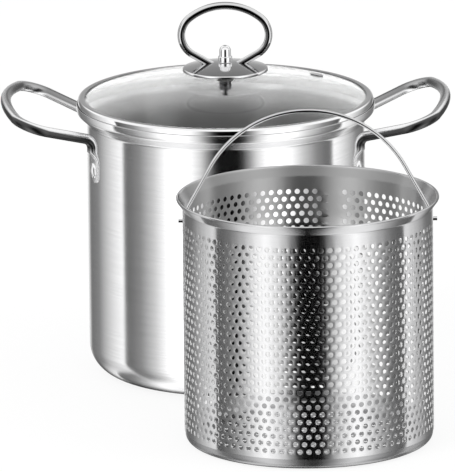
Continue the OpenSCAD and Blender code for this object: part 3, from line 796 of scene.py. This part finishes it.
def flatten_end(bm, ring, turn):
    """Pulls the wire's end down the wall and squeezes it to a pad."""
    face = Matrix.Rotation(math.radians(turn), 4, "Z")
    seen = [face.inverted() @ v.co for v in ring]
    middle = sum(co.x for co in seen) / len(seen)
    arounds = [math.atan2(co.y, co.x - middle) for co in seen]
    for drop, half_width, half_depth, squareness in pad_stations():
        ring = next_ring(bm, ring)
        for v, around in zip(ring, arounds):
            across = math.copysign(abs(math.sin(around)) ** squareness, math.sin(around))
            out = math.copysign(abs(math.cos(around)) ** squareness, math.cos(around))
            v.co = face @ Vector((pad_back + half_depth * (1 + out), half_width * across, pad_top - drop))


# %% [markdown]
# A handle starts upright on the wall above its rivet, bends outwards, turns into the long grip and
# comes back the same way. The left handle is the right one mirrored.

# %% Side handles
rivet_turn = 22.5552
leg_heading = 32.8869
grip_side = -100.182
root_x = 114.95
handle_runs = [
    (2.676, 9, 73.8729, 0), (36.9723, 18, 102.886, grip_side), (0, 180, 37.1089, grip_side),
    (0, 18, 102.886, grip_side), (36.9723, 9, 73.8729, 0), (2.676, 0, 0, 0),
]


def side_handle(name, node, mirrored):
    """Bends one handle and flattens its two ends."""
    bm = bmesh.new()
    a = math.radians(rivet_turn)
    foot = Matrix.Translation((root_x * math.cos(a), root_x * math.sin(a), pad_top))
    start = foot @ Matrix.Rotation(math.radians(leg_heading), 4, "Z")
    first_ring, last_ring, end = bend_wire(bm, grip_radius, start, handle_runs, 32, 90)
    print(name, "ends at", [round(v, 2) for v in end.translation])
    flatten_end(bm, first_ring, rivet_turn)
    flatten_end(bm, last_ring, -rivet_turn)
    close_ends(bm)
    if mirrored:
        bmesh.ops.scale(bm, vec=(-1, 1, 1), verts=bm.verts)
    return finish_piece(name, bm, grip_steel, node, sharp=50)


right_grip = side_handle("right_wire_handle", "right_handle", False)
left_grip = side_handle("left_wire_handle", "left_handle", True)

# %% [markdown]
# A rivet is a low crown outside, a thin disc inside the wall and a shank between them. All three
# are made upright and laid on their side with one matrix.

# %% Rivets
rivet_z = 174
crown_height = 3.0
crown_at, disc_at, shank_at = 113.9, 109.1, 111.9


def at_wall(turn, distance):
    """Lays an upright shape on its side, at the rivets' height and a distance from the axis."""
    out = Matrix.Rotation(math.radians(turn), 4, "Z") @ Matrix.Translation((distance, 0, rivet_z))
    return out @ Matrix.Rotation(math.radians(90), 4, "Y")


def rivet(name, node, turn):
    """One rivet, at a turn round the pot in degrees."""
    bm = bmesh.new()
    draw_section(bm, (beside_axis, 0), 0, [(5.85, 0.4, 90, 4), (0.1, 7.4, 44, 10), (0, 7.9, 42, 8)])
    top = max(v.co.z for v in bm.verts)
    for v in bm.verts:
        v.co.z *= crown_height / top
    print(name, "head", round(max(v.co.x for v in bm.verts) * 2, 2), "across")
    spin_section(bm, 48)
    close_ends(bm)
    bmesh.ops.transform(bm, matrix=at_wall(turn, crown_at), verts=bm.verts)
    for r, depth, distance in ((4.75, 1.4, disc_at), (2.5, 5.2, shank_at)):
        made = bmesh.ops.create_cone(bm, cap_ends=True, segments=32, radius1=r, radius2=r, depth=depth)
        bmesh.ops.transform(bm, matrix=at_wall(turn, distance), verts=made["verts"])
    return finish_piece(name, bm, mirror_steel, node, sharp=50)


rivets = [
    rivet("rivet_head_right_front", "rivet_right_front", -rivet_turn),
    rivet("rivet_head_right_back", "rivet_right_back", rivet_turn),
    rivet("rivet_head_left_front", "rivet_left_front", 180 + rivet_turn),
    rivet("rivet_head_left_back", "rivet_left_back", 180 - rivet_turn),
]

# %% [markdown]
# The knob's loop is bent in one plane. It starts and ends inside the plate, and what lies below the
# plate's dome is cut off, so that both feet stand on it as if welded.

# %% Knob loop
foot_x, foot_z, foot_sink = 13.5, 250.851, 6.0
weld_gap = 0.05
slope = math.radians(30)
rise, run = math.sin(slope), math.cos(slope)
start = Matrix((
    (rise, 0, -run, -foot_x + foot_sink * run),
    (0, 1, 0, 0),
    (run, 0, rise, foot_z - foot_sink * rise),
    (0, 0, 0, 1),
))
bm = bmesh.new()
bend_wire(bm, 3.0, start, [
    (20.1234, 18.1376, 111.663, 0), (0, 45, 76.6742, 0), (0, 18.1376, 111.663, 0), (20.1234, 0, 0, 0),
], 32, 120)
lean = math.asin(foot_x / plate_sphere)
for side in (-1, 1):
    outward = Vector((side * math.sin(lean), 0, math.cos(lean)))
    touch = Vector((0, 0, plate_centre)) + outward * (plate_sphere + weld_gap)
    half = [f for f in bm.faces if side * f.calc_center_median().x > 0]
    geom = half + list({e for f in half for e in f.edges}) + list({v for f in half for v in f.verts})
    bmesh.ops.bisect_plane(bm, geom=geom, dist=0.0001, plane_co=touch, plane_no=outward, clear_inner=True)
close_ends(bm)
loop = finish_piece("knob_wire_loop", bm, loop_steel, "knob_loop", sharp=50)

# %% [markdown]
# The bail starts as a pin outside the basket's wall, comes in and bends upright, leans in at the
# knee and goes over the top in one wide curve. Its other half is the same in reverse.

# %% Basket bail
pivot_z = 175.5
pin_reach = 100.6
start = Matrix((
    (0, 0, 1, basket_place.x / MM - pin_reach),
    (0, -1, 0, basket_place.y / MM),
    (1, 0, 0, pivot_z),
    (0, 0, 0, 1),
))
bm = bmesh.new()
bend_wire(bm, 1.5, start, [
    (3.8, 3.1, 90, 0), (5, 7, 29, 180), (35.362, 86.5273, 122, 180), (35.362, 7, 29, 180),
    (5, 3.1, 90, 0), (3.8, 0, 0, 0),
], 20, 160)
close_ends(bm)
bail = finish_piece("wire_bail", bm, bail_steel, "basket_bail", body="bail", sharp=50)

# %% [markdown]
# The basket's wall starts as a flat sheet, as it does in the factory. One cell with a round hole is
# made, a second one is set beside it half a pitch further, and the pair is repeated in rows.

# %% Perforated sheet
pitch = 7.0
rows, columns = 28, 85
first_row, last_row = 14.6, 174.5
row_gap = (last_row - first_row) / (rows - 1)
drain_radius, wall_dimple = 2.12, 0.1
wall_r = 97.4
girth = 2 * math.pi * wall_r


def hole_cell(dimple):
    """One cell of the sheet, pitch wide and row_gap high, with a round hole whose rim is pushed in."""
    bm = bmesh.new()
    upright = Matrix.Rotation(math.radians(90), 4, "X")
    circle = dict(cap_ends=False, segments=12, matrix=upright)
    inner = bmesh.ops.create_circle(bm, radius=drain_radius, **circle)["verts"]
    for e in bm.edges:
        e.seam = True
    outer = bmesh.ops.create_circle(bm, radius=pitch, **circle)["verts"]
    quarters = (2, 2, 1, 0, -1, -2, -2, -2, -1, 0, 1, 2)
    for v in outer:
        turn = round(math.degrees(math.atan2(v.co.z, v.co.x)) / 30) % 12
        z = 0 if turn in (0, 6) else row_gap / 2 * (1 if turn < 6 else -1)
        v.co = (quarters[turn] * pitch / 4, 0, z)
    bmesh.ops.translate(bm, verts=inner, vec=(0, dimple, 0))
    bmesh.ops.bridge_loops(bm, edges=bm.edges[:])
    return bm


def add_second(cell, step):
    """Sets a copy of the cell beside it."""
    second = bmesh.ops.duplicate(cell, geom=cell.verts[:] + cell.edges[:] + cell.faces[:])["geom"]
    bmesh.ops.translate(cell, verts=verts_in(second), vec=step)


def repeat(cell, counts):
    """Repeats a cell with Array modifiers, given (count, step) pairs, and welds the field."""
    mesh = bpy.data.meshes.new("cell")
    cell.to_mesh(mesh)
    cell.free()
    carrier = new_object("carrier", mesh)
    for count, step in counts:
        array = carrier.modifiers.new("rows", "ARRAY")
        array.count = count
        array.use_relative_offset = False
        array.use_constant_offset = True
        array.constant_offset_displace = step
        array.use_merge_vertices = True
        array.merge_threshold = 0.01
    field = bmesh.new()
    field.from_mesh(baked(carrier))
    bpy.data.objects.remove(carrier)
    bmesh.ops.remove_doubles(field, verts=field.verts, dist=0.01)
    return field


cell = hole_cell(wall_dimple)
bmesh.ops.translate(cell, verts=cell.verts, vec=(pitch / 2, 0, first_row))
add_second(cell, (pitch / 2, 0, row_gap))
sheet = repeat(cell, [(columns, (pitch, 0, 0)), (rows // 2, (0, 0, 2 * row_gap))])
print("flat sheet:", len(sheet.faces), "faces,", rows * columns, "holes")

# %% [markdown]
# The sheet's two ends will meet when it is rolled, with a blank strip between the last holes. The
# left end's edge is copied one girth along, and the strip is bridged from the right end to it.

# %% Closing the blank seam
low_z, high_z = first_row - row_gap / 2, last_row + row_gap / 2


def level(e, z):
    return all(abs(v.co.z - z) < 0.01 for v in e.verts)


def open_edges(bm):
    """The edges of the sheet's outline, which aren't a hole's rim."""
    return [e for e in bm.edges if e.is_boundary and not e.seam]


ends = [e for e in open_edges(sheet) if not level(e, low_z) and not level(e, high_z)]
left = [e for e in ends if max(v.co.x for v in e.verts) < pitch * 0.51]
right = [e for e in ends if min(v.co.x for v in e.verts) > (columns - 0.01) * pitch]
copied = bmesh.ops.duplicate(sheet, geom=left + list({v for e in left for v in e.verts}))["geom"]
bmesh.ops.translate(sheet, verts=verts_in(copied), vec=(girth, 0, 0))
print("seam edges:", len(left), len(right), len(edges_in(copied)))
joined = bmesh.ops.bridge_loops(sheet, edges=right + edges_in(copied))
across = [e for e in joined["edges"] if abs(e.verts[0].co.x - e.verts[1].co.x) > pitch]
bmesh.ops.subdivide_edges(sheet, edges=across, cuts=5, use_grid_fill=True)

# %% [markdown]
# Near the two ends of the bail the sheet has no drain holes, so the few that would fall there are
# closed again. Then the lower edge gets its blank margin and the upper edge its flared, curled rim.

# %% Blank spots, foot and rim of the sheet
seam_angle = 78
seam_middle = (columns * pitch + girth) / 2 + pitch / 4
start_angle = seam_angle - 360 * seam_middle / girth
blank_radius = 7.6
wall_foot, rim_foot = 8.5, 186.9


def sheet_x(angle):
    """Where an angle round the basket lies along the flat sheet."""
    return ((angle - start_angle) % 360) / 360 * girth


def middle_of(e):
    return sum((v.co for v in e.verts), Vector()) / 2


for pivot_angle in (0, 180):
    spot = Vector((sheet_x(pivot_angle), 0, pivot_z))
    hole_rims = [e for e in sheet.edges if e.seam and e.is_boundary]
    near = [e for e in hole_rims if (middle_of(e) - spot).length < blank_radius]
    bmesh.ops.holes_fill(sheet, edges=near, sides=12)

low_edges = [e for e in open_edges(sheet) if level(e, low_z)]
grown = bmesh.ops.extrude_edge_only(sheet, edges=low_edges)["geom"]
bmesh.ops.translate(sheet, verts=verts_in(grown), vec=(0, 0, wall_foot - low_z))


def bend_edge(bm, edges, heading, runs):
    """Bends the sheet's long edge in runs of (straight length, bend radius, bend angle, steps),
    outwards for minus."""
    angle = heading
    for straight, radius, bend, steps in runs:
        cos_now, sin_now = math.cos(math.radians(angle)), math.sin(math.radians(angle))
        if straight:
            geom = bmesh.ops.extrude_edge_only(bm, edges=edges)["geom"]
            edges = edges_in(geom)
            bmesh.ops.translate(bm, verts=verts_in(geom), vec=Vector((0, -cos_now, sin_now)) * straight)
        if bend:
            side = 1 if bend > 0 else -1
            centre = edges[0].verts[0].co + Vector((0, sin_now, cos_now)) * side * radius
            geom = edges + list({v for e in edges for v in e.verts})
            edges = edges_in(swing(bm, geom, centre, (-side, 0, 0), abs(bend), steps))
            angle += bend


high_edges = [e for e in open_edges(sheet) if level(e, high_z)]
bend_edge(sheet, high_edges, 90, [(rim_foot - 1 - high_z, 2.4, -36, 3), (7.2, 1.1, 217, 9)])
print("sheet with its rim:", len(sheet.faces), "faces, top at", round(max(v.co.z for v in sheet.verts), 2))

# %% [markdown]
# Rolling turns each point's place along the sheet into an angle, and its depth into a radius. The
# two ends land on each other and are welded.

# %% Rolling the sheet
for v in sheet.verts:
    angle = math.radians(start_angle + 360 * v.co.x / girth)
    radius = wall_r - v.co.y
    v.co = (radius * math.cos(angle), radius * math.sin(angle), v.co.z)
bmesh.ops.remove_doubles(sheet, verts=sheet.verts, dist=0.01)
bmesh.ops.translate(sheet, verts=sheet.verts, vec=basket_place / MM)
basket_wall = finish_piece("perforated_wall", sheet, basket_steel, "basket_wall",
                           wall=0.6, sharp=48)
print("rolled wall spans", [round(span, 4) for span in basket_wall.dimensions])

# %% [markdown]
# The basket's bottom is a shallow pan with the same holes. Its cells fill a square, the ones outside
# a circle are taken out, and the ragged edge is joined to the pan's round corner.

# %% Basket bottom
base_r, corner_r, lap_height = 96.75, 6.0, 11.5
flat_r = base_r - corner_r
field_r = flat_r - 4.5
cells_across, pairs_up = 26, 15
cell = hole_cell(0.0)
bmesh.ops.rotate(cell, verts=cell.verts, cent=(0, 0, 0), matrix=Matrix.Rotation(math.radians(90), 3, "X"))
add_second(cell, (pitch / 2, row_gap, 0))
corner = (-pitch * cells_across / 2 + pitch / 4, -row_gap * (pairs_up - 0.5), 0)
bmesh.ops.translate(cell, verts=cell.verts, vec=corner)
pan = repeat(cell, [(cells_across, (pitch, 0, 0)), (pairs_up, (0, 2 * row_gap, 0))])
far = [f for f in pan.faces if f.calc_center_median().length > field_r - 1.5]
bmesh.ops.delete(pan, geom=far, context="FACES")
bmesh.ops.delete(pan, geom=[v for v in pan.verts if not v.link_faces], context="VERTS")
print("pan cells left:", len(pan.faces) // 12)

border = [e for e in pan.edges if e.is_boundary and (not e.seam or middle_of(e).length > field_r - 8)]
circle = bmesh.ops.create_circle(pan, cap_ends=False, segments=240, radius=flat_r)["verts"]
edges = list({e for v in circle for e in v.link_edges})
bmesh.ops.triangle_fill(pan, use_beauty=True, use_dissolve=False, edges=border + edges)
radius_now = flat_r
for step in range(1, 9):
    a = math.radians(90 * step / 8)
    geom = bmesh.ops.extrude_edge_only(pan, edges=edges)["geom"]
    edges = edges_in(geom)
    radius_next = flat_r + corner_r * math.sin(a)
    growth = radius_next / radius_now
    bmesh.ops.scale(pan, vec=(growth, growth, 1), verts=verts_in(geom))
    for v in verts_in(geom):
        v.co.z = corner_r * (1 - math.cos(a))
    radius_now = radius_next
geom = bmesh.ops.extrude_edge_only(pan, edges=edges)["geom"]
bmesh.ops.translate(pan, verts=verts_in(geom), vec=(0, 0, lap_height - corner_r))
bmesh.ops.translate(pan, verts=pan.verts, vec=basket_place / MM)
basket_pan = finish_piece("perforated_pan", pan, pan_steel, "basket_base",
                          wall=0.6, sharp=48)

# %% [markdown]
# In the photograph the pot's wall mirrors only the studio, as if the basket and the handles weren't
# there, and the glass doesn't show the knob's underside. So the basket, its bail, the handles and
# the rivets are hidden from shiny rays, and plate, loop and nut from rays through the glass.

# %% Keeping pieces out of reflections
unmirrored = (basket_wall, basket_pan, bail, right_grip, left_grip, *rivets)
for piece in unmirrored:
    piece.visible_glossy = False
for piece in (plate, loop, nut):
    piece.visible_transmission = False
print("kept out of reflections:", [piece.name for piece in unmirrored])

# %% [markdown]
# The small pieces of the knob's stack show through the glass. Their CAD solids are right as they
# are and only take their finishes.

# %% Finishes of the knob's stack
for node, material in {
    "knob_screw": trim_steel, "lower_washer": trim_steel, "knob_spacer": mirror_steel,
    "lower_gasket": silicone, "upper_gasket": silicone,
}.items():
    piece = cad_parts[node]
    for slot in piece.material_slots:
        slot.material = material
    if not piece.material_slots:
        piece.data.materials.append(material)
print("stack finished")

# %% Finish
bpy.context.scene.view_settings.view_transform = "Standard"
